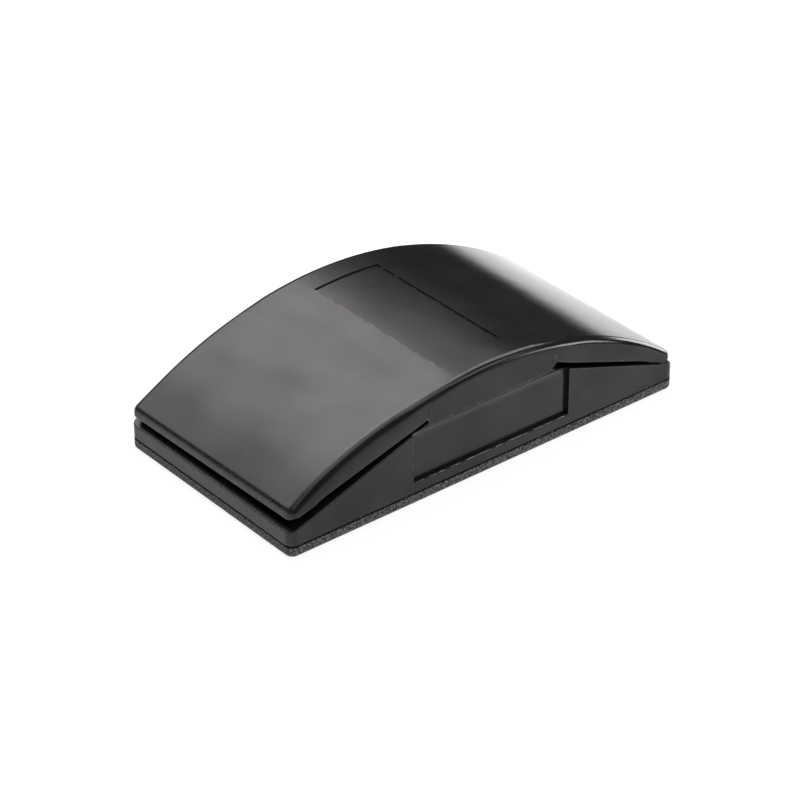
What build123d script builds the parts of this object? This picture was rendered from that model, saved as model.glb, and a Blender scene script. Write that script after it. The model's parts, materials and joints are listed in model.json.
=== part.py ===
from build123d import *
import math
import os

# Moulded rubber hand sanding block. A strip of sandpaper lies under the flat face
# and its two ends are held in a slit at each end, on short steel pins.
#
# Frame: origin at the centre of the flat sanding face, +X along the block towards
# the far flap, +Y across it, +Z up through the crown. Millimetres.

# Outside of the block
LENGTH = 127.0
WIDTH = 66.7
HEIGHT = 31.4
CROWN_RADIUS = 106.0
CORNER_RADIUS = 2.3
ROUND_OVER = 2.1

# Sole: the bonded layer under the seam line
SOLE_THICKNESS = 3.3
SOLE_EDGE_RADIUS = 1.3
SEAM_GROOVE_DEPTH = 0.5
SEAM_GROOVE_HEIGHT = 0.24

# Slits and jaws, as (x from the middle, z); the near slit ends narrower than the far one
SLIT_END_TOP = {"near": (20.4, 23.0), "far": (21.8, 23.5)}
SLIT_END_BOTTOM = (20.2, 22.1)
JAW_TIP_Z = 7.3
JAW_EDGE_RADIUS = 0.3

# Flaps and the rubber webs that they bend on
FLAP_TIP_X = 62.5
FLAP_TIP_GAP = 0.8
FLAP_ROOT_X = 27.5
FLAP_ROOT_GAP = {"near": 1.1, "far": 1.5}
FLAP_EDGE_RADIUS = 0.5
HINGE_X = 24.5
HINGE_Z = 26.2
REST_LIFT = {"near": 2.5, "far": 0.0}

# Finger recess in each long side and blank label recess on the crown
RECESS_START_X = -25.1
RECESS_END_X = 26.3
RECESS_BOTTOM_Z = 6.4
RECESS_FADE_Z = 17.9
RECESS_TOP_Z = 21.6
RECESS_DEPTH = 1.1
RECESS_EDGE_RADIUS = 0.3
LABEL_LENGTH = 21.0
LABEL_WIDTH = 49.4
LABEL_DEPTH = 0.4
LABEL_CORNER_RADIUS = 0.6

# Steel paper pins, square to the jaw
PIN_X = 50.0
PIN_SPACING = 20.0
PIN_COUNT = 3
PIN_DIAMETER = 1.8
PIN_PROUD = 3.2
PIN_POINT = 1.8
PIN_TIP_RADIUS = 0.1
PIN_HEAD_DIAMETER = 4.2
PIN_HEAD_THICKNESS = 0.8
PIN_POCKET_DIAMETER = 3.6
PIN_POINT_CLEARANCE = 0.7

# Worked out from the sizes above
CROWN_CENTRE_Z = HEIGHT - CROWN_RADIUS
JAW_SLOPE = math.atan2(SLIT_END_BOTTOM[1] - JAW_TIP_Z, LENGTH / 2 - SLIT_END_BOTTOM[0])
REACH = 100.0


def crown_z(x):
    """Height of the arched top at x."""
    return CROWN_CENTRE_Z + math.sqrt(CROWN_RADIUS**2 - x**2)


def jaw_z(x):
    """Height of the sloping upper face of the lower jaw at x."""
    return JAW_TIP_Z + (LENGTH / 2 - x) * math.tan(JAW_SLOPE)


def flap_underside_z(x, end):
    """Height of the underside of a flap as it is moulded, before it is lifted."""
    root_gap = FLAP_ROOT_GAP[end]
    along = (x - FLAP_ROOT_X) / (FLAP_TIP_X - FLAP_ROOT_X)
    return jaw_z(x) + root_gap + along * (FLAP_TIP_GAP - root_gap)


def about_hinge(x, z, lift):
    """Where a point of the +X flap goes when the flap is lifted by some degrees."""
    turn = math.radians(lift)
    dx = x - HINGE_X
    dz = z - HINGE_Z
    turned_x = HINGE_X + dx * math.cos(turn) - dz * math.sin(turn)
    turned_z = HINGE_Z + dx * math.sin(turn) + dz * math.cos(turn)
    return turned_x, turned_z


def prism(lines):
    """Solid right across the block from a closed outline in the XZ plane."""
    face = Plane.XZ * make_face(lines)
    return extrude(face, amount=WIDTH / 2, both=True)


def arched_block(length):
    """Arched outer shape above the seam, with round corners and top edges."""
    half = length / 2
    end_z = crown_z(half)
    outline = ThreePointArc((-half, end_z), (0, HEIGHT), (half, end_z))
    outline += Line((half, end_z), (half, SOLE_THICKNESS))
    outline += Line((half, SOLE_THICKNESS), (-half, SOLE_THICKNESS))
    outline += Line((-half, SOLE_THICKNESS), (-half, end_z))
    block = prism(outline)
    block = fillet(block.edges().filter_by(Axis.Z), CORNER_RADIUS)
    crown = block.faces().sort_by(Axis.Z)[-1]
    return fillet(crown.edges(), ROUND_OVER)


def middle_outline():
    """Middle of the block and both lower jaws, as one closed outline."""
    low_x, low_z = SLIT_END_BOTTOM
    half = LENGTH / 2
    over = HEIGHT + 1
    outline = Line((-SLIT_END_TOP["near"][0], over), (SLIT_END_TOP["far"][0], over))
    for end, side in (("far", 1), ("near", -1)):
        top_x, top_z = SLIT_END_TOP[end]
        outline += Line((side * top_x, over), (side * top_x, top_z))
        outline += Line((side * top_x, top_z), (side * low_x, low_z))
        outline += Line((side * low_x, low_z), (side * half, JAW_TIP_Z))
        outline += Line((side * half, JAW_TIP_Z), (side * half, 0))
    outline += Line((half, 0), (-half, 0))
    return outline


def pin_station(y):
    """Plane at a pin's foot on the jaw's upper face, with Z along the pin."""
    direction = (math.sin(JAW_SLOPE), 0, math.cos(JAW_SLOPE))
    return Plane(origin=(PIN_X, y, jaw_z(PIN_X)), x_dir=(0, 1, 0), z_dir=direction)


def pin_length_in_jaw():
    """Depth from the jaw's face to the underside of the pin's head."""
    room = jaw_z(PIN_X) - SOLE_THICKNESS - PIN_HEAD_DIAMETER / 2 * math.sin(JAW_SLOPE)
    return room / math.cos(JAW_SLOPE) - PIN_HEAD_THICKNESS


def make_pin(y):
    """Steel pin: flat head in the jaw's underside, shank, conical point in the slit."""
    below = pin_length_in_jaw()
    shank = Pos(0, 0, -below) * Cylinder(
        PIN_DIAMETER / 2, below + PIN_PROUD - PIN_POINT, align=(Align.CENTER, Align.CENTER, Align.MIN)
    )
    point = Pos(0, 0, PIN_PROUD - PIN_POINT) * Cone(
        PIN_DIAMETER / 2, PIN_TIP_RADIUS, PIN_POINT, align=(Align.CENTER, Align.CENTER, Align.MIN)
    )
    head = Pos(0, 0, -below) * Cylinder(
        PIN_HEAD_DIAMETER / 2, PIN_HEAD_THICKNESS, align=(Align.CENTER, Align.CENTER, Align.MAX)
    )
    return pin_station(y) * (shank + point + head)


def head_well(y):
    """Well that the pin is pushed in through, from its head down to the underside."""
    well = Pos(0, 0, -pin_length_in_jaw()) * Cylinder(
        PIN_HEAD_DIAMETER / 2, 2 * PIN_HEAD_DIAMETER, align=(Align.CENTER, Align.CENTER, Align.MAX)
    )
    return pin_station(y) * well


def pin_pocket(y):
    """Blind pocket in a flap's underside that clears a pin's point."""
    reach = PIN_PROUD + PIN_POINT_CLEARANCE
    pocket = Cylinder(PIN_POCKET_DIAMETER / 2, reach, align=(Align.CENTER, Align.CENTER, Align.MIN))
    return pin_station(y) * pocket


def pin_rows():
    """Positions of the pins across the block."""
    return [PIN_SPACING * (n - (PIN_COUNT - 1) / 2) for n in range(PIN_COUNT)]


def finger_recess(side):
    """Cutter for one long side: a flat floor that fades out under the round-over."""
    outer = side * (WIDTH / 2 + 1)
    face_y = side * WIDTH / 2
    floor_y = side * (WIDTH / 2 - RECESS_DEPTH)
    mid_y = side * (WIDTH / 2 - 0.7 * RECESS_DEPTH)
    mid_z = RECESS_FADE_Z + 0.6 * (RECESS_TOP_Z - RECESS_FADE_Z)
    outline = Line((outer, RECESS_BOTTOM_Z), (floor_y, RECESS_BOTTOM_Z))
    outline += Line((floor_y, RECESS_BOTTOM_Z), (floor_y, RECESS_FADE_Z))
    outline += ThreePointArc((floor_y, RECESS_FADE_Z), (mid_y, mid_z), (face_y, RECESS_TOP_Z))
    outline += Line((face_y, RECESS_TOP_Z), (outer, RECESS_TOP_Z))
    outline += Line((outer, RECESS_TOP_Z), (outer, RECESS_BOTTOM_Z))
    face = Pos(RECESS_START_X, 0, 0) * (Plane.YZ * make_face(outline))
    return extrude(face, amount=RECESS_END_X - RECESS_START_X, dir=(1, 0, 0))


def on_recess_rim(edge, side):
    """Whether an edge is the long lower rim of the recess in one side."""
    centre = edge.center()
    on_face = abs(centre.Y - side * WIDTH / 2) < 0.01
    return on_face and abs(centre.Z - RECESS_BOTTOM_Z) < 0.01


def label_recess():
    """Cutter for the blank label panel, as deep everywhere under the arched crown."""
    window = extrude(RectangleRounded(LABEL_LENGTH, LABEL_WIDTH, LABEL_CORNER_RADIUS), REACH)
    under_crown = Pos(0, 0, CROWN_CENTRE_Z) * Rot(90, 0, 0) * Cylinder(
        CROWN_RADIUS - LABEL_DEPTH, 2 * WIDTH
    )
    return window - under_crown


def make_body_core(pins):
    """Rubber middle and lower jaws, moulded as one."""
    core = arched_block(LENGTH) & prism(middle_outline())
    inner_end = SLIT_END_BOTTOM[0] + 0.1
    for side in (1, -1):
        slope = Vector(side * math.sin(JAW_SLOPE), 0, math.cos(JAW_SLOPE))
        jaw = core.faces().filter_by(lambda face: face.normal_at().dot(slope) > 0.999)[0]
        rims = jaw.edges().filter_by(lambda edge: abs(edge.center().X) > inner_end)
        core = fillet(rims, JAW_EDGE_RADIUS)
    under = core.faces().sort_by(Axis.Z)[0]
    core = chamfer(under.edges(), SEAM_GROOVE_DEPTH, SEAM_GROOVE_HEIGHT, reference=under)
    core -= label_recess()
    for side in (1, -1):
        core -= finger_recess(side)
        ledge = core.edges().filter_by(lambda edge: on_recess_rim(edge, side))
        core = fillet(ledge, RECESS_EDGE_RADIUS)
    for y in pin_rows():
        well = head_well(y)
        core -= [well, mirror(well, about=Plane.YZ)]
    for pin in pins:
        core -= pin
    return core


def make_sole():
    """Flat rubber layer bonded under the core, over the heads of the pins."""
    plate = extrude(RectangleRounded(LENGTH, WIDTH, CORNER_RADIUS), SOLE_THICKNESS)
    plate = fillet(plate.faces().sort_by(Axis.Z)[0].edges(), SOLE_EDGE_RADIUS)
    top = plate.faces().sort_by(Axis.Z)[-1]
    return chamfer(top.edges(), SEAM_GROOVE_DEPTH, SEAM_GROOVE_HEIGHT, reference=top)


def make_flap(end):
    """Flap at the +X end, from the end of its web to its nose, lifted about the hinge."""
    root_z = flap_underside_z(FLAP_ROOT_X, end)
    tip_z = flap_underside_z(FLAP_TIP_X, end)
    outline = Line((FLAP_ROOT_X, HEIGHT), (FLAP_ROOT_X, root_z))
    outline += Line((FLAP_ROOT_X, root_z), (FLAP_TIP_X, tip_z))
    outline += Line((FLAP_TIP_X, tip_z), (FLAP_TIP_X, HEIGHT))
    outline += Line((FLAP_TIP_X, HEIGHT), (FLAP_ROOT_X, HEIGHT))
    flap = arched_block(2 * FLAP_TIP_X) & prism(outline)
    underside = flap.faces().sort_by(lambda face: face.normal_at().Z)[0]
    rims = underside.edges().filter_by(lambda edge: abs(edge.center().X) > FLAP_ROOT_X + 0.1)
    flap = fillet(rims, FLAP_EDGE_RADIUS)
    for y in pin_rows():
        flap -= pin_pocket(y)
    return flap.rotate(Axis((HINGE_X, 0, HINGE_Z), (0, -1, 0)), REST_LIFT[end])


def make_web(end):
    """Bending rubber at the +X end, between the core and the lifted flap."""
    lift = REST_LIFT[end]
    top_x, low_z = SLIT_END_TOP[end]
    high = (top_x, crown_z(top_x))
    low = (top_x, low_z)
    flap_high = about_hinge(FLAP_ROOT_X, crown_z(FLAP_ROOT_X), lift)
    flap_low = about_hinge(FLAP_ROOT_X, flap_underside_z(FLAP_ROOT_X, end), lift)
    crest = about_hinge(HINGE_X, crown_z(HINGE_X), lift / 2)
    outline = ThreePointArc(high, crest, flap_high)
    outline += Line(flap_high, flap_low)
    outline += Line(flap_low, low)
    outline += Line(low, high)
    web = prism(outline)
    top = web.faces().sort_by(Axis.Z)[-1]
    long_edges = top.edges().filter_by(lambda e: abs(abs(e.center().Y) - WIDTH / 2) < 0.01)
    return fillet(long_edges, ROUND_OVER)


def save(node, shape):
    """Write one node to its own STEP file."""
    export_step(shape, os.path.join("parts", node + ".step"))


os.makedirs("parts", exist_ok=True)

far_pins = [make_pin(y) for y in pin_rows()]
near_pins = [mirror(pin, about=Plane.YZ) for pin in far_pins]

save("body_core", make_body_core(far_pins + near_pins))
save("base_sole", make_sole())
for number, (near_pin, far_pin) in enumerate(zip(near_pins, far_pins), start=1):
    save(f"near_pin_{number}", near_pin)
    save(f"far_pin_{number}", far_pin)
save("far_flap", make_flap("far"))
save("near_flap", mirror(make_flap("near"), about=Plane.YZ))
save("far_hinge_web", make_web("far"))
save("near_hinge_web", mirror(make_web("near"), about=Plane.YZ))
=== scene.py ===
import json
import math

import bmesh
import bpy
import numpy as np
from mathutils import Matrix, Vector


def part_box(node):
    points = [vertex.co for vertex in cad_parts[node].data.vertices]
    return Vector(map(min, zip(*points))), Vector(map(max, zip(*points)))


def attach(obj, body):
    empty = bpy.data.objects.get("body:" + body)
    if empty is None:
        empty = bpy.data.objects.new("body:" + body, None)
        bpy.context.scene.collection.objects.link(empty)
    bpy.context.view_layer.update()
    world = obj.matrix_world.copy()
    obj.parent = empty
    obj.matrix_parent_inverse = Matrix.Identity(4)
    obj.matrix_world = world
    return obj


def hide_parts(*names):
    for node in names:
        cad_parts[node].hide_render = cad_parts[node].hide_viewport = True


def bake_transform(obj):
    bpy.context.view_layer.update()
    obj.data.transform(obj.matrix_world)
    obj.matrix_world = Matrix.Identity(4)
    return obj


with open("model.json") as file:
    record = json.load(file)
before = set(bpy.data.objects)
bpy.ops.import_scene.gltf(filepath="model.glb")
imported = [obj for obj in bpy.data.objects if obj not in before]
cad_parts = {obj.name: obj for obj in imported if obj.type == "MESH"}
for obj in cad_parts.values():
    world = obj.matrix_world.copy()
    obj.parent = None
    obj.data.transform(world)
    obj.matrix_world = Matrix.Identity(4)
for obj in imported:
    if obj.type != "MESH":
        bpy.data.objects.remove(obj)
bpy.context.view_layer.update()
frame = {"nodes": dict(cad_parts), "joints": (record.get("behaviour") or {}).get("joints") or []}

MM = 0.001

# ---------------------------------------------------------------------------
# Sizes, in metres, from the frame and from a few sizes of the block itself
# ---------------------------------------------------------------------------
sole_low, sole_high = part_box("base_sole")
core_low, core_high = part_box("body_core")
HALF_LENGTH = sole_high.x
HALF_WIDTH = sole_high.y
SEAM_Z = core_low.z
HEIGHT = core_high.z

CROWN_RADIUS = 106 * MM
CORNER_RADIUS = 2.3 * MM
ROUND_OVER = 2.1 * MM
SOLE_EDGE_RADIUS = 1.3 * MM
SIDE_ROUNDING = 2.1
SIDE_ROUNDING_LENGTH = 14 * MM
FLAP_TIP_X = 62.5 * MM
FLAP_START_X = {"near": 20.4 * MM, "far": 21.8 * MM}
FLAP_ROOT_X = 27.5 * MM
FLAP_TIP_GAP = 0.8 * MM
FLAP_ROOT_GAP = {"near": 1.1 * MM, "far": 1.5 * MM}
FLAP_EDGE_RADIUS = 0.5 * MM
SLIT_END_X = 20.2 * MM
SLIT_END_Z = 22.1 * MM
SLIT_END_TOP_Z = {"near": 23.0 * MM, "far": 23.5 * MM}
JAW_TIP_Z = 7.3 * MM
REST_LIFT = {"near": 2.5, "far": 0.0}
REST_TWIST = {"near": 0.7 * MM, "far": 0.0}
LABEL_HALF_LENGTH = 10.5 * MM
LABEL_HALF_WIDTH = 24.7 * MM
RECESS_START_X = -25.1 * MM
RECESS_END_X = 26.3 * MM
RECESS_BOTTOM_Z = 6.4 * MM
RECESS_TOP_Z = 21.6 * MM
PIN_X = 50 * MM
PIN_SPACING = 20 * MM
PIN_COUNT = 3
POCKET_RADIUS = 1.8 * MM
POCKET_REACH = 3.9 * MM

HINGES = {joint["child"]: Vector(joint["pos_m"]) for joint in frame["joints"]}
CROWN_CENTRE_Z = HEIGHT - CROWN_RADIUS
JAW_SLOPE = (SLIT_END_Z - JAW_TIP_Z) / (HALF_LENGTH - SLIT_END_X)


# ---------------------------------------------------------------------------
# Camera, at the reference view
# ---------------------------------------------------------------------------
CAMERA_AZIMUTH = -39.3
CAMERA_ELEVATION = 31.76
CAMERA_DISTANCE = 0.823
CAMERA_TARGET = Vector((-0.01184, -0.01199, 0.0154))
CAMERA_LENS_MM = 146.65


def make_camera():
    """A long lens from the front left, above the block."""
    azimuth = math.radians(CAMERA_AZIMUTH)
    elevation = math.radians(CAMERA_ELEVATION)
    back = Vector((
        math.sin(azimuth) * math.cos(elevation),
        -math.cos(azimuth) * math.cos(elevation),
        math.sin(elevation),
    ))
    data = bpy.data.cameras.new("camera")
    data.sensor_width = 36
    data.lens = CAMERA_LENS_MM
    camera = bpy.data.objects.new("camera", data)
    camera.location = CAMERA_TARGET + CAMERA_DISTANCE * back
    camera.rotation_euler = back.to_track_quat("Z", "Y").to_euler()
    bpy.context.scene.collection.objects.link(camera)
    bpy.context.scene.camera = camera


# ---------------------------------------------------------------------------
# Floor and lights
# ---------------------------------------------------------------------------
LIGHT_DISTANCE = 0.9
FLOOR_HALF_SIZE = 3.0
FLOOR_Z = -0.02 * MM
FLOOR_GREY = 0.15
FLOOR_GLOW = 0.88
FAR_FLOOR_GLOW = 1.32
FLOOR_FAR_WAY = (0.73, 0.68, 0)
FLOOR_BRIGHTENS = (0.06, 0.11)
FLOOR_FADES = (0.26, 0.62)
FLOOR_FADED_SHARE = 0.25


def make_floor():
    """Floor that glows white, brightest beside the far flap and fading well past it."""
    half = FLOOR_HALF_SIZE
    corners = [(-half, -half), (half, -half), (half, half), (-half, half)]
    mesh = bpy.data.meshes.new("floor")
    mesh.from_pydata([(x, y, FLOOR_Z) for x, y in corners], [], [(0, 1, 2, 3)])
    floor = bpy.data.objects.new("floor", mesh)
    bpy.context.scene.collection.objects.link(floor)
    material, tree, shader = new_material("floor_white")
    shader.inputs["Base Color"].default_value = (FLOOR_GREY, FLOOR_GREY, FLOOR_GREY, 1)
    shader.inputs["Roughness"].default_value = 0.9
    shader.inputs["Specular IOR Level"].default_value = 0.2
    shader.inputs["Emission Color"].default_value = (1, 1, 1, 1)
    place = tree.nodes.new("ShaderNodeTexCoord")
    away = tree.nodes.new("ShaderNodeVectorMath")
    away.operation = "DOT_PRODUCT"
    away.inputs[1].default_value = FLOOR_FAR_WAY
    tree.links.new(place.outputs["Object"], away.inputs[0])
    glow = ranged(tree, away.outputs["Value"], FLOOR_BRIGHTENS, (FLOOR_GLOW, FAR_FLOOR_GLOW))
    fade = ranged(tree, away.outputs["Value"], FLOOR_FADES, (1, FLOOR_FADED_SHARE))
    tree.links.new(times(tree, glow, fade), shader.inputs["Emission Strength"])
    mesh.materials.append(material)


def softbox(name, azimuth, elevation, size, radiance, colour=(1, 1, 1)):
    """Even rectangular light aimed at the block; azimuth 0 is +Y and 90 is +X."""
    a = math.radians(azimuth)
    e = math.radians(elevation)
    away = Vector((math.sin(a) * math.cos(e), math.cos(a) * math.cos(e), math.sin(e)))
    data = bpy.data.lights.new(name, "AREA")
    data.shape = "RECTANGLE"
    data.size, data.size_y = size
    data.energy = radiance * math.pi * size[0] * size[1]
    data.color = colour
    light = bpy.data.objects.new(name, data)
    light.location = LIGHT_DISTANCE * away + Vector((0, 0, HEIGHT / 2))
    light.rotation_euler = away.to_track_quat("Z", "Y").to_euler()
    bpy.context.scene.collection.objects.link(light)


def make_world(level):
    """Even white surroundings."""
    world = bpy.data.worlds.new("studio")
    world.use_nodes = True
    background = world.node_tree.nodes["Background"]
    background.inputs["Color"].default_value = (1, 1, 1, 1)
    background.inputs["Strength"].default_value = level
    bpy.context.scene.world = world


def make_lights():
    """Dark room; softboxes over the top and far side, low strips on the right."""
    make_world(0.02)
    warm = (1.0, 0.97, 0.95)
    far_elevation = 50
    right_edge = 37
    for left_edge, radiance in ((-24, 1.2), (-17, 0.7), (-10, 0.7), (-2, 2.3)):
        half_turn = math.radians((right_edge - left_edge) / 2) * math.cos(math.radians(far_elevation))
        size = (2 * LIGHT_DISTANCE * math.tan(half_turn), 0.4)
        softbox("far_softbox", (left_edge + right_edge) / 2, far_elevation, size, radiance, warm)
    softbox("far_left_softbox", -22, 46, (0.45, 0.5), 2.9, warm)
    softbox("far_high_softbox", 35, 68, (0.65, 0.32), 4.6, warm)
    softbox("far_right_softbox", 62, 45, (0.4, 0.32), 4.4, warm)
    softbox("far_low_softbox", 28, 35, (0.5, 0.16), 1.3, warm)
    softbox("front_softbox", 180, 58, (0.65, 0.4), 2.6)
    softbox("top_softbox", 0, 88, (0.75, 0.75), 2.9)
    softbox("right_key", 128, 14, (0.25, 0.24), 10)
    softbox("right_softbox", 135, 42, (0.4, 0.16), 4)
    softbox("far_end_key", 88, 8.5, (0.46, 0.25), 9)


# ---------------------------------------------------------------------------
# Materials
# ---------------------------------------------------------------------------
def node(tree, kind, **inputs):
    """New node with the given input values, by socket name with spaces as _."""
    made = tree.nodes.new(kind)
    for name, value in inputs.items():
        made.inputs[name.replace("_", " ")].default_value = value
    return made


def new_material(name):
    """Empty node material with its Principled shader."""
    material = bpy.data.materials.new(name)
    material.use_nodes = True
    return material, material.node_tree, material.node_tree.nodes["Principled BSDF"]


def object_noise(tree, scale, detail=2.0, stretch=(1, 1, 1)):
    """Noise in the object's own frame, so that it runs on from piece to piece."""
    place = tree.nodes.new("ShaderNodeTexCoord")
    mapping = node(tree, "ShaderNodeMapping", Scale=stretch)
    noise = node(tree, "ShaderNodeTexNoise", Scale=scale, Detail=detail)
    tree.links.new(place.outputs["Object"], mapping.inputs["Vector"])
    tree.links.new(mapping.outputs["Vector"], noise.inputs["Vector"])
    return noise.outputs["Fac"]


def ramp(tree, source, stops):
    """Colour ramp over a 0 to 1 value; stops are (position, grey or colour)."""
    made = tree.nodes.new("ShaderNodeValToRGB")
    elements = made.color_ramp.elements
    while len(elements) < len(stops):
        elements.new(0.5)
    for element, (position, colour) in zip(elements, stops):
        element.position = position
        element.color = (*colour, 1) if isinstance(colour, tuple) else (colour, colour, colour, 1)
    tree.links.new(source, made.inputs["Fac"])
    return made.outputs["Color"]


RUBBER_SPECULAR = 0.3
GRAIN_SCALE = 2300


def bumped(tree, layers):
    """Chain of bumps; layers are (height value, depth in metres)."""
    normal = None
    for height, depth in layers:
        bump = node(tree, "ShaderNodeBump", Strength=1.0, Distance=depth)
        tree.links.new(height, bump.inputs["Height"])
        if normal is not None:
            tree.links.new(normal, bump.inputs["Normal"])
        normal = bump.outputs["Normal"]
    return normal


def mixed(tree, fac, first, second):
    """Colour between two colours."""
    mix = tree.nodes.new("ShaderNodeMix")
    mix.data_type = "RGBA"
    tree.links.new(fac, mix.inputs["Factor"])
    tree.links.new(first, mix.inputs["A"])
    tree.links.new(second, mix.inputs["B"])
    return mix.outputs["Result"]


def ranged(tree, value, reach, results):
    """Value taken from one range to another, and held at its ends."""
    made = tree.nodes.new("ShaderNodeMapRange")
    made.inputs["From Min"].default_value, made.inputs["From Max"].default_value = reach
    made.inputs["To Min"].default_value, made.inputs["To Max"].default_value = results
    tree.links.new(value, made.inputs["Value"])
    return made.outputs["Result"]


def times(tree, first, second):
    """Product of two values."""
    made = tree.nodes.new("ShaderNodeMath")
    made.operation = "MULTIPLY"
    tree.links.new(first, made.inputs[0])
    tree.links.new(second, made.inputs[1])
    return made.outputs["Value"]


def object_x(tree):
    """Distance along the block, in the object's own frame."""
    place = tree.nodes.new("ShaderNodeTexCoord")
    split = tree.nodes.new("ShaderNodeSeparateXYZ")
    tree.links.new(place.outputs["Object"], split.inputs["Vector"])
    return split.outputs["X"]


def end_mask(tree):
    """1 on the block's end faces, 0 elsewhere."""
    size = tree.nodes.new("ShaderNodeMath")
    size.operation = "ABSOLUTE"
    tree.links.new(object_x(tree), size.inputs[0])
    ends = (HALF_LENGTH - 1.5 * MM, HALF_LENGTH - 0.5 * MM)
    return ranged(tree, size.outputs["Value"], ends, (0, 1))


def polish(tree):
    """Share of the roughness that is left, lower over the far flap."""
    return ranged(tree, object_x(tree), (5 * MM, 34 * MM), (1, 0.45))


def grit(tree, dark, light, scale):
    """Salt and pepper grain of ground rubber."""
    grain = object_noise(tree, scale, 1.5)
    middle = tuple(0.5 * (low + high) for low, high in zip(dark, light))
    return grain, ramp(tree, grain, [(0.4, dark), (0.55, middle), (0.66, light)])


def body_rubber_material():
    """Moulded rubber: near black, smeared gloss that is higher over the far flap, gritty ends."""
    material, tree, shader = new_material("rubber_body")
    cloud = object_noise(tree, 70, 5)
    smooth_colour = ramp(tree, cloud, [(0.35, (0.0075, 0.0068, 0.0074)), (0.7, (0.0115, 0.0105, 0.0115))])
    _, gritty = grit(tree, (0.007, 0.0065, 0.007), (0.045, 0.043, 0.045), GRAIN_SCALE)
    ends = end_mask(tree)
    tree.links.new(mixed(tree, ends, smooth_colour, gritty), shader.inputs["Base Color"])
    smears = object_noise(tree, 42, 6, (1, 0.45, 1))
    gloss = ramp(tree, object_noise(tree, 60, 7, (1, 0.6, 1)), [(0.3, 0.22), (0.5, 0.3), (0.72, 0.37)])
    tree.links.new(gloss, shader.inputs["Specular IOR Level"])
    rough = ramp(tree, smears, [(0.3, 0.2), (0.5, 0.24), (0.75, 0.3)])
    tree.links.new(times(tree, rough, polish(tree)), shader.inputs["Roughness"])
    waves = object_noise(tree, 55, 2)
    pores = object_noise(tree, 2600, 3)
    normal = bumped(tree, [(waves, 0.1 * MM), (pores, 0.012 * MM)])
    tree.links.new(normal, shader.inputs["Normal"])
    return material


def sole_rubber_material():
    """Ground sole rubber: lighter than the body, dull, with open grain."""
    material, tree, shader = new_material("rubber_sole")
    shader.inputs["Specular IOR Level"].default_value = RUBBER_SPECULAR
    grain, colour = grit(tree, (0.004, 0.0038, 0.004), (0.17, 0.165, 0.17), GRAIN_SCALE)
    tree.links.new(colour, shader.inputs["Base Color"])
    tree.links.new(ramp(tree, grain, [(0.35, 0.5), (0.7, 0.75)]), shader.inputs["Roughness"])
    lumps = object_noise(tree, 700, 2)
    tree.links.new(bumped(tree, [(lumps, 0.08 * MM), (grain, 0.06 * MM)]), shader.inputs["Normal"])
    return material


def flash_material():
    """Thin rubber flash and crumbs, rubbed pale."""
    material, tree, shader = new_material("rubber_flash")
    shader.inputs["Specular IOR Level"].default_value = RUBBER_SPECULAR
    dust = object_noise(tree, 420, 4)
    colour = ramp(tree, dust, [(0.42, (0.01, 0.01, 0.01)), (0.64, (0.3, 0.29, 0.28))])
    tree.links.new(colour, shader.inputs["Base Color"])
    tree.links.new(ramp(tree, dust, [(0.3, 0.45), (0.7, 0.7)]), shader.inputs["Roughness"])
    return material


# Near-black material for the seam bead: painted shade in the groove, not glue.
def seam_shade_material():
    """Dull near-black sheet, painted shade for the groove between sole and core."""
    material, tree, shader = new_material("seam_painted_shade")
    shader.inputs["Specular IOR Level"].default_value = 0.05
    lumps = object_noise(tree, 900, 3)
    tree.links.new(ramp(tree, lumps, [(0.4, 0.0008), (0.7, 0.0045)]), shader.inputs["Base Color"])
    tree.links.new(ramp(tree, lumps, [(0.3, 0.7), (0.7, 0.9)]), shader.inputs["Roughness"])
    return material


def steel_material():
    """Drawn steel wire, lightly scratched along its length."""
    material, tree, shader = new_material("steel_pin")
    scratches = object_noise(tree, 900, 3, (1, 1, 0.15))
    tree.links.new(ramp(tree, scratches, [(0.3, 0.42), (0.7, 0.62)]), shader.inputs["Base Color"])
    tree.links.new(ramp(tree, scratches, [(0.3, 0.2), (0.7, 0.38)]), shader.inputs["Roughness"])
    shader.inputs["Metallic"].default_value = 1
    return material


# ---------------------------------------------------------------------------
# Shape of the block
# ---------------------------------------------------------------------------
def arc_z(x, radius):
    """Height at x of an arc of that radius about the crown's centre."""
    return CROWN_CENTRE_Z + np.sqrt(radius**2 - x**2)


def jaw_z(x):
    """Height of the lower jaw's sloping face at x from the middle."""
    return JAW_TIP_Z + (HALF_LENGTH - x) * JAW_SLOPE


def half_width(x):
    """Half width of the plan outline at x, with a round corner at the tip."""
    into_corner = np.clip(x - (FLAP_TIP_X - CORNER_RADIUS), 0, CORNER_RADIUS)
    return HALF_WIDTH - CORNER_RADIUS + np.sqrt(CORNER_RADIUS**2 - into_corner**2)


def top_z(x, y):
    """Height of the arched top at x, y, as a ball rolled round its edge leaves it."""
    ball = np.linspace(x - ROUND_OVER, min(x + ROUND_OVER, FLAP_TIP_X - ROUND_OVER), 300)
    inner_corner = CORNER_RADIUS - ROUND_OVER
    into_corner = np.clip(ball - (FLAP_TIP_X - CORNER_RADIUS), 0, inner_corner)
    inner_width = HALF_WIDTH - CORNER_RADIUS + np.sqrt(inner_corner**2 - into_corner**2)
    sideways = np.clip(abs(y) - inner_width, 0, None)
    room = ROUND_OVER**2 - (x - ball) ** 2 - sideways**2
    reach = arc_z(ball, CROWN_RADIUS - ROUND_OVER) + np.sqrt(np.clip(room, 0, None))
    return float(reach[room >= min(room.max(), 0)].max())


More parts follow.
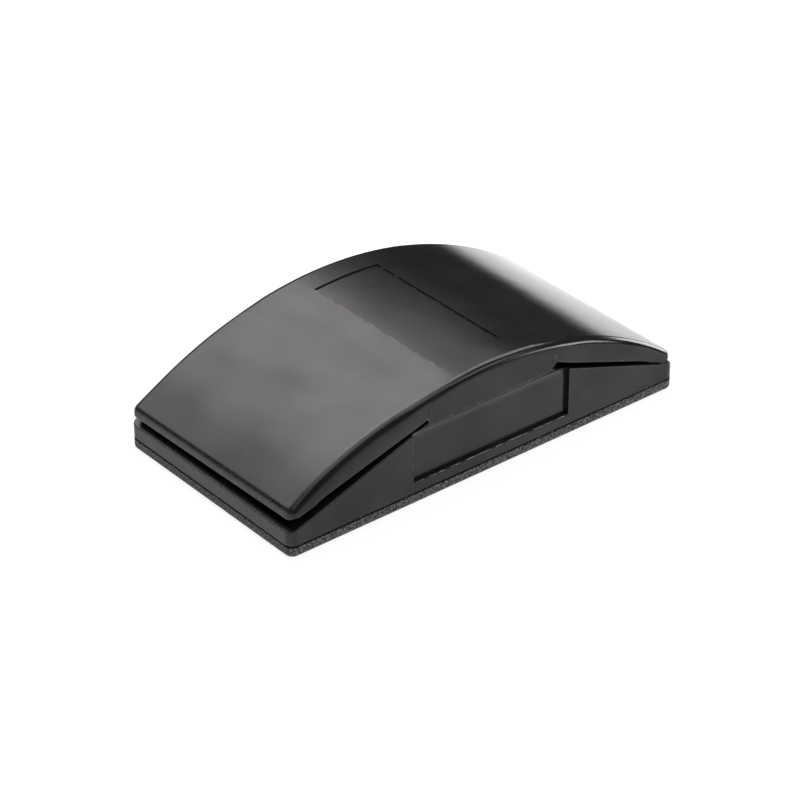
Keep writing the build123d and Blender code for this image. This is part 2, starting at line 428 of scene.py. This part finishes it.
def flap_underside_z(x, end):
    """Height of a flap's underside as moulded, with the web's underside behind it."""
    root_gap = FLAP_ROOT_GAP[end]
    along = (x - FLAP_ROOT_X) / (FLAP_TIP_X - FLAP_ROOT_X)
    moulded = jaw_z(x) + root_gap + along * (FLAP_TIP_GAP - root_gap)
    if x < FLAP_ROOT_X:
        back = (FLAP_ROOT_X - x) / (FLAP_ROOT_X - FLAP_START_X[end])
        root = jaw_z(FLAP_ROOT_X) + root_gap
        moulded = root + back * (SLIT_END_TOP_Z[end] - root)
    into_nose = np.clip(x - (FLAP_TIP_X - FLAP_EDGE_RADIUS), 0, FLAP_EDGE_RADIUS)
    return moulded + FLAP_EDGE_RADIUS - math.sqrt(FLAP_EDGE_RADIUS**2 - into_nose**2)


def smooth(t):
    """Smooth step from 0 to 1."""
    t = np.clip(t, 0, 1)
    return t * t * (3 - 2 * t)


def tube_faces(rings, count):
    """Quads round a run of rings, with a flat face to close each end."""
    faces = [tuple(range(count))[::-1]]
    for ring in range(rings - 1):
        for n in range(count):
            a = ring * count + n
            b = ring * count + (n + 1) % count
            faces.append((a, b, b + count, a + count))
    faces.append(tuple(range((rings - 1) * count, rings * count)))
    return faces


SHARP_ANGLE = math.radians(40)


def piece(name, points, faces, material):
    """Smooth-shaded mesh object from points in metres."""
    mesh = bpy.data.meshes.new(name)
    mesh.from_pydata([tuple(p) for p in points], [], faces)
    mesh.validate()
    mesh.materials.append(material)
    made = bpy.data.objects.new(name, mesh)
    bpy.context.scene.collection.objects.link(made)
    mesh.shade_smooth()
    mesh.set_sharp_from_angle(angle=SHARP_ANGLE)
    return made


def flap_stations(end):
    """Places along a flap: even to the nose, then closer round it."""
    even = np.linspace(FLAP_START_X[end], FLAP_TIP_X - CORNER_RADIUS, 44)
    turn = np.radians(np.linspace(0, 90, 15)[1:])
    nose = FLAP_TIP_X - CORNER_RADIUS + CORNER_RADIUS * np.sin(turn)
    return np.concatenate([even, nose])


def across():
    """Shares of the half width, from the middle to the edge, closer at the edge."""
    flat = np.linspace(0, 1 - 2.6 * MM / HALF_WIDTH, 26)
    turn = np.radians(np.linspace(0, 90, 10)[1:])
    edge = flat[-1] + (1 - flat[-1]) * np.sin(turn)
    return np.concatenate([flat, edge])


def side_rounding(x, room, end):
    """How many times deeper than its width the side's rounding is at x on a flap."""
    grown = (SIDE_ROUNDING - 1) * smooth((x - FLAP_START_X[end]) / SIDE_ROUNDING_LENGTH)
    return 1 + min(grown, max(room / ROUND_OVER - 1, 0))


def flap_ring(x, end):
    """Cross-section of a flap at x, once round, from the middle of its top."""
    wide = half_width(x)
    under = flap_underside_z(x, end)
    top = [(share * wide, top_z(x, share * wide)) for share in across()]
    flat_z = top[0][1]
    depth = side_rounding(x, flat_z - under - FLAP_EDGE_RADIUS, end)
    top = [(y, flat_z - depth * (flat_z - z)) for y, z in top]
    edge_z = top[-1][1]
    rim = min(FLAP_EDGE_RADIUS, max(edge_z - under, 0))
    side = [(wide, edge_z + t * (under + rim - edge_z)) for t in (0.33, 0.66)]
    turn = np.radians(np.linspace(0, 90, 6))
    low = [(wide - rim + rim * math.cos(a), under + rim - rim * math.sin(a)) for a in turn]
    bottom = [(share * (wide - rim), under) for share in np.linspace(1, 0, 22)[1:]]
    half = top + side + low + bottom
    other = [(-y, z) for y, z in half[-2:0:-1]]
    return [(x, y, z) for y, z in half + other]


def lifted(points, end):
    """Points of a flap as moulded at +X, turned to their rest lift and twisted by use."""
    x, y, z = np.asarray(points, dtype=float).T
    hinge = HINGES["far_flap"]
    start = FLAP_START_X[end]
    turn = math.radians(REST_LIFT[end]) * smooth((x - start) / (FLAP_ROOT_X - start))
    raised = -y / HALF_WIDTH * REST_TWIST[end] * smooth((x - start) / (FLAP_TIP_X - start))
    dx = x - hinge.x
    dz = z - hinge.z
    lifted_x = hinge.x + dx * np.cos(turn) - dz * np.sin(turn)
    lifted_z = hinge.z + dx * np.sin(turn) + dz * np.cos(turn) + raised
    way = -1 if end == "near" else 1
    return np.stack([way * lifted_x, y, lifted_z], axis=1)


def pin_pockets():
    """Cutter for the blind pockets that clear the pins' points in a flap at +X."""
    cutter = bmesh.new()
    slope = math.atan(JAW_SLOPE)
    depth = POCKET_REACH + MM
    along = Vector((math.sin(slope), 0, math.cos(slope)))
    for n in range(PIN_COUNT):
        y = PIN_SPACING * (n - (PIN_COUNT - 1) / 2)
        middle = Vector((PIN_X, y, jaw_z(PIN_X))) + along * (POCKET_REACH - depth / 2)
        bmesh.ops.create_cone(
            cutter,
            cap_ends=True,
            segments=32,
            radius1=POCKET_RADIUS,
            radius2=POCKET_RADIUS,
            depth=depth,
            matrix=Matrix.Translation(middle) @ Matrix.Rotation(slope, 4, "Y"),
        )
    mesh = bpy.data.meshes.new("pin_pockets")
    cutter.to_mesh(mesh)
    cutter.free()
    made = bpy.data.objects.new("pin_pockets", mesh)
    bpy.context.scene.collection.objects.link(made)
    return made


def cut(target, cutter):
    """Takes the cutter's volume out of the target's mesh, and removes the cutter."""
    boolean = target.modifiers.new("cut", "BOOLEAN")
    boolean.operation = "DIFFERENCE"
    boolean.solver = "EXACT"
    boolean.object = cutter
    mesh = bpy.data.meshes.new_from_object(target.evaluated_get(bpy.context.evaluated_depsgraph_get()))
    target.modifiers.clear()
    target.data = mesh
    bpy.data.objects.remove(cutter)


def make_flap(end, material):
    """One flap with the web that it bends on, in one skin."""
    rings = [flap_ring(x, end) for x in flap_stations(end)]
    points = [p for ring in rings for p in ring]
    flap = piece(end + "_flap_skin", points, tube_faces(len(rings), len(rings[0])), material)
    cut(flap, pin_pockets())
    mesh = flap.data
    moulded = np.empty(3 * len(mesh.vertices))
    mesh.vertices.foreach_get("co", moulded)
    mesh.vertices.foreach_set("co", lifted(moulded.reshape(-1, 3), end).ravel())
    if end == "near":
        mesh.flip_normals()
    mesh.shade_smooth()
    mesh.set_sharp_from_angle(angle=SHARP_ANGLE)
    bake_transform(flap)
    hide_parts(end + "_flap", end + "_hinge_web")


# ---------------------------------------------------------------------------
# Fins of mould flash, painted shade in the seam groove, crumbs of rubber and the sole's grit
# ---------------------------------------------------------------------------
FLASH_WIDTH = 0.2 * MM
FLASH_HEIGHT = 0.13 * MM
FLASH_ROOT = 0.05 * MM
CRUMB_SIZE = 0.27 * MM
GRIT_SIZE = 0.3 * MM
GRIT_PER_SIDE = 620
# Sizes of the near-black bead in the seam groove, which paints the groove's shade.
SEAM_SHADE_HALF_HEIGHT = 0.28 * MM
SEAM_SHADE_PROUD = 0.01 * MM
SEAM_SHADE_DEPTH = 0.3 * MM


def run(start, end, step):
    """Evenly spaced points from start to end."""
    start = np.array(start, dtype=float)
    end = np.array(end, dtype=float)
    count = max(2, round(float(np.linalg.norm(end - start)) / step))
    return start + np.linspace(0, 1, count)[:, None] * (end - start)


def fin(points, outward, height, rng):
    """Thin fin of uneven height along a line of points on one face."""
    outward = np.array(outward, dtype=float)
    along = np.gradient(points, axis=0)
    side = np.cross(along, outward)
    side *= FLASH_WIDTH / 2 / np.linalg.norm(side, axis=1)[:, None]
    rise = height * rng.random(len(points))[:, None] ** 0.6
    root = points - FLASH_ROOT * outward
    rings = np.stack([root - side, root + side, points + rise * outward], axis=1)
    return rings.reshape(-1, 3), tube_faces(len(points), 3)


def crumbs(centres, size, rng):
    """Small irregular chips of rubber at the given places."""
    corners = np.array([(1, 0, 0), (-1, 0, 0), (0, 1, 0), (0, -1, 0), (0, 0, 1), (0, 0, -1)], dtype=float)
    sides = [(0, 2, 4), (2, 1, 4), (1, 3, 4), (3, 0, 4), (2, 0, 5), (1, 2, 5), (3, 1, 5), (0, 3, 5)]
    points = []
    faces = []
    for n, centre in enumerate(centres):
        reach = size * (0.25 + 0.75 * rng.random()) / 2 * (0.6 + 0.8 * rng.random((6, 1)))
        points.extend(np.array(centre) + corners * reach + (rng.random((6, 3)) - 0.5) * size * 0.3)
        faces.extend(tuple(6 * n + corner for corner in side) for side in sides)
    return np.array(points), faces


def scatter(start, end, count, spread, rng):
    """Places along a line, each a little off it."""
    start = np.array(start, dtype=float)
    along = rng.random(count)[:, None] * (np.array(end, dtype=float) - start)
    return start + along + rng.normal(0, 1, (count, 3)) * np.array(spread, dtype=float)


def joined(name, parts, material, body):
    """One object from several (points, faces) parts, riding on a body."""
    points = []
    faces = []
    for part_points, part_faces in parts:
        offset = len(points)
        points.extend(part_points)
        faces.extend(tuple(offset + corner for corner in face) for face in part_faces)
    made = piece(name, points, faces, material)
    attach(made, body)


def crown_z(x):
    """Height of the arched top at x."""
    return float(arc_z(x, CROWN_RADIUS))


def make_flash(material):
    """Fins of flash on the core: recess rims, slit ends and the label's long edge."""
    rng = np.random.default_rng(7)
    step = 0.25 * MM
    parts = []
    for side in (-1, 1):
        y = side * HALF_WIDTH
        outward = (0, side, 0)
        low = RECESS_BOTTOM_Z
        start = RECESS_START_X
        parts.append(fin(run((start, y, low), (RECESS_END_X, y, low), step), outward, FLASH_HEIGHT, rng))
        upright = (start, y, SEAM_Z + 0.4 * MM), (start, y, jaw_z(-start) - MM)
        parts.append(fin(run(*upright, step), outward, FLASH_HEIGHT, rng))
        fade = RECESS_TOP_Z + 0.1 * MM
        reach = SLIT_END_X - 0.5 * MM
        parts.append(fin(run((-reach, y, fade), (reach, y, fade), step), outward, 0.25 * FLASH_HEIGHT, rng))
        for end, way in (("near", -1), ("far", 1)):
            x = way * (FLAP_START_X[end] - 0.2 * MM)
            low = SLIT_END_TOP_Z[end]
            high = crown_z(x) - ROUND_OVER
            parts.append(fin(run((x, y, low), (x, y, high), step), outward, 0.7 * FLASH_HEIGHT, rng))
    x = -LABEL_HALF_LENGTH
    edge_z = crown_z(x)
    ends = (x, -LABEL_HALF_WIDTH, edge_z), (x, LABEL_HALF_WIDTH, edge_z)
    parts.append(fin(run(*ends, step), (0, 0, 1), 0.3 * FLASH_HEIGHT, rng))
    joined("core_flash", parts, material, "body")


def make_painted_seam_shade(material):
    """Near-black bead that fills the groove between sole and core, as painted shade in the groove."""
    turns = np.radians(np.arange(0, 360, 6))
    count = len(turns)
    heights = (SEAM_Z + SEAM_SHADE_HALF_HEIGHT, SEAM_Z - SEAM_SHADE_HALF_HEIGHT, SEAM_Z)
    points = np.empty((count, 3, 3))
    for n, (out, z) in enumerate(zip((SEAM_SHADE_PROUD, SEAM_SHADE_PROUD, -SEAM_SHADE_DEPTH), heights)):
        radius = CORNER_RADIUS + out
        points[:, n, 0] = np.sign(np.cos(turns)) * (HALF_LENGTH - CORNER_RADIUS) + radius * np.cos(turns)
        points[:, n, 1] = np.sign(np.sin(turns)) * (HALF_WIDTH - CORNER_RADIUS) + radius * np.sin(turns)
        points[:, n, 2] = z
    faces = []
    for n in range(count):
        after = (n + 1) % count
        for low, high in ((0, 1), (1, 2), (2, 0)):
            faces.append((3 * n + low, 3 * n + high, 3 * after + high, 3 * after + low))
    line = piece("painted_seam_shade", points.reshape(-1, 3), faces, material)
    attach(line, "body")


def make_body_crumbs(material):
    """Crumbs of rubber along the label, the seam, the recess rims and the slit ends."""
    rng = np.random.default_rng(11)
    fine = 0.12 * MM
    places = []
    label_z = crown_z(LABEL_HALF_LENGTH)
    for x, count in ((LABEL_HALF_LENGTH - 0.35 * MM, 70), (-LABEL_HALF_LENGTH, 45)):
        ends = (x, -LABEL_HALF_WIDTH, label_z - 0.3 * MM), (x, LABEL_HALF_WIDTH, label_z - 0.3 * MM)
        places.append(scatter(*ends, count, (2 * fine, fine, fine), rng))
    for side in (-1, 1):
        y = side * HALF_WIDTH
        seam = (-HALF_LENGTH + CORNER_RADIUS, y, SEAM_Z), (HALF_LENGTH - CORNER_RADIUS, y, SEAM_Z)
        places.append(scatter(*seam, 150, (0, 0.3 * fine, 2.5 * fine), rng))
        rim = (RECESS_START_X, y, RECESS_BOTTOM_Z), (RECESS_END_X, y, RECESS_BOTTOM_Z)
        places.append(scatter(*rim, 35, (0, 0.5 * fine, fine), rng))
        for x, z in ((-SLIT_END_X, SLIT_END_TOP_Z["near"]), (SLIT_END_X, SLIT_END_TOP_Z["far"])):
            places.append(scatter((x, y, z), (x, y, z + 2 * MM), 12, (3 * fine, 0.3 * fine, fine), rng))
        end_x = side * HALF_LENGTH
        inner = HALF_WIDTH - CORNER_RADIUS
        across_end = (end_x, -inner, SEAM_Z), (end_x, inner, SEAM_Z)
        places.append(scatter(*across_end, 40, (0.3 * fine, 0, 2.5 * fine), rng))
    joined("body_crumbs", [crumbs(np.concatenate(places), CRUMB_SIZE, rng)], material, "body")


def make_sole_grit(material):
    """Coarse grains of ground rubber standing a little out of the sole's sides."""
    rng = np.random.default_rng(19)
    low = SOLE_EDGE_RADIUS
    high = SEAM_Z - 0.4 * MM
    count = GRIT_PER_SIDE
    few = count // 2
    places = []
    for side in (-1, 1):
        x = rng.uniform(CORNER_RADIUS - HALF_LENGTH, HALF_LENGTH - CORNER_RADIUS, count)
        z = rng.uniform(low, high, count)
        places.append(np.stack([x, np.full(count, side * HALF_WIDTH), z], axis=1))
        y = rng.uniform(CORNER_RADIUS - HALF_WIDTH, HALF_WIDTH - CORNER_RADIUS, few)
        z = rng.uniform(low, high, few)
        places.append(np.stack([np.full(few, side * HALF_LENGTH), y, z], axis=1))
    joined("sole_grit", [crumbs(np.concatenate(places), GRIT_SIZE, rng)], material, "body")


def make_flap_crumbs(end, material):
    """Crumbs of rubber along a flap's lower rims and its nose."""
    rng = np.random.default_rng(13 if end == "near" else 17)
    fine = 0.1 * MM
    clear = FLAP_ROOT_X + 4 * MM
    nose = FLAP_TIP_X - CORNER_RADIUS
    places = []
    for side in (-1, 1):
        start = (clear, side * HALF_WIDTH, flap_underside_z(clear, end) + FLAP_EDGE_RADIUS)
        finish = (nose, side * HALF_WIDTH, flap_underside_z(nose, end) + FLAP_EDGE_RADIUS)
        places.append(scatter(start, finish, 26, (0, 0.3 * fine, fine), rng))
    tip_z = flap_underside_z(FLAP_TIP_X - FLAP_EDGE_RADIUS, end) + FLAP_EDGE_RADIUS
    inner = HALF_WIDTH - CORNER_RADIUS
    tip = (FLAP_TIP_X, -inner, tip_z), (FLAP_TIP_X, inner, tip_z)
    places.append(scatter(*tip, 18, (0.3 * fine, 0, fine), rng))
    chips, faces = crumbs(np.concatenate(places), 0.8 * CRUMB_SIZE, rng)
    joined(end + "_flap_crumbs", [(lifted(chips, end), faces)], material, end + "_flap")


# ---------------------------------------------------------------------------
# The scene
# ---------------------------------------------------------------------------
def repaint(name, material):
    """Gives a CAD node a finished material."""
    mesh = frame["nodes"][name].data
    mesh.materials.clear()
    mesh.materials.append(material)


make_camera()
make_floor()
make_lights()
bpy.context.scene.view_settings.view_transform = "Standard"

body_rubber = body_rubber_material()
sole_rubber = sole_rubber_material()
flash = flash_material()
steel = steel_material()

repaint("body_core", body_rubber)
repaint("base_sole", sole_rubber)
for name in frame["nodes"]:
    if "_pin_" in name:
        repaint(name, steel)

for end in ("near", "far"):
    make_flap(end, body_rubber)
    make_flap_crumbs(end, flash)
make_flash(flash)
# Near-black bead in the seam groove: painted shade in the groove.
make_painted_seam_shade(seam_shade_material())
make_sole_grit(sole_rubber)
make_body_crumbs(flash)
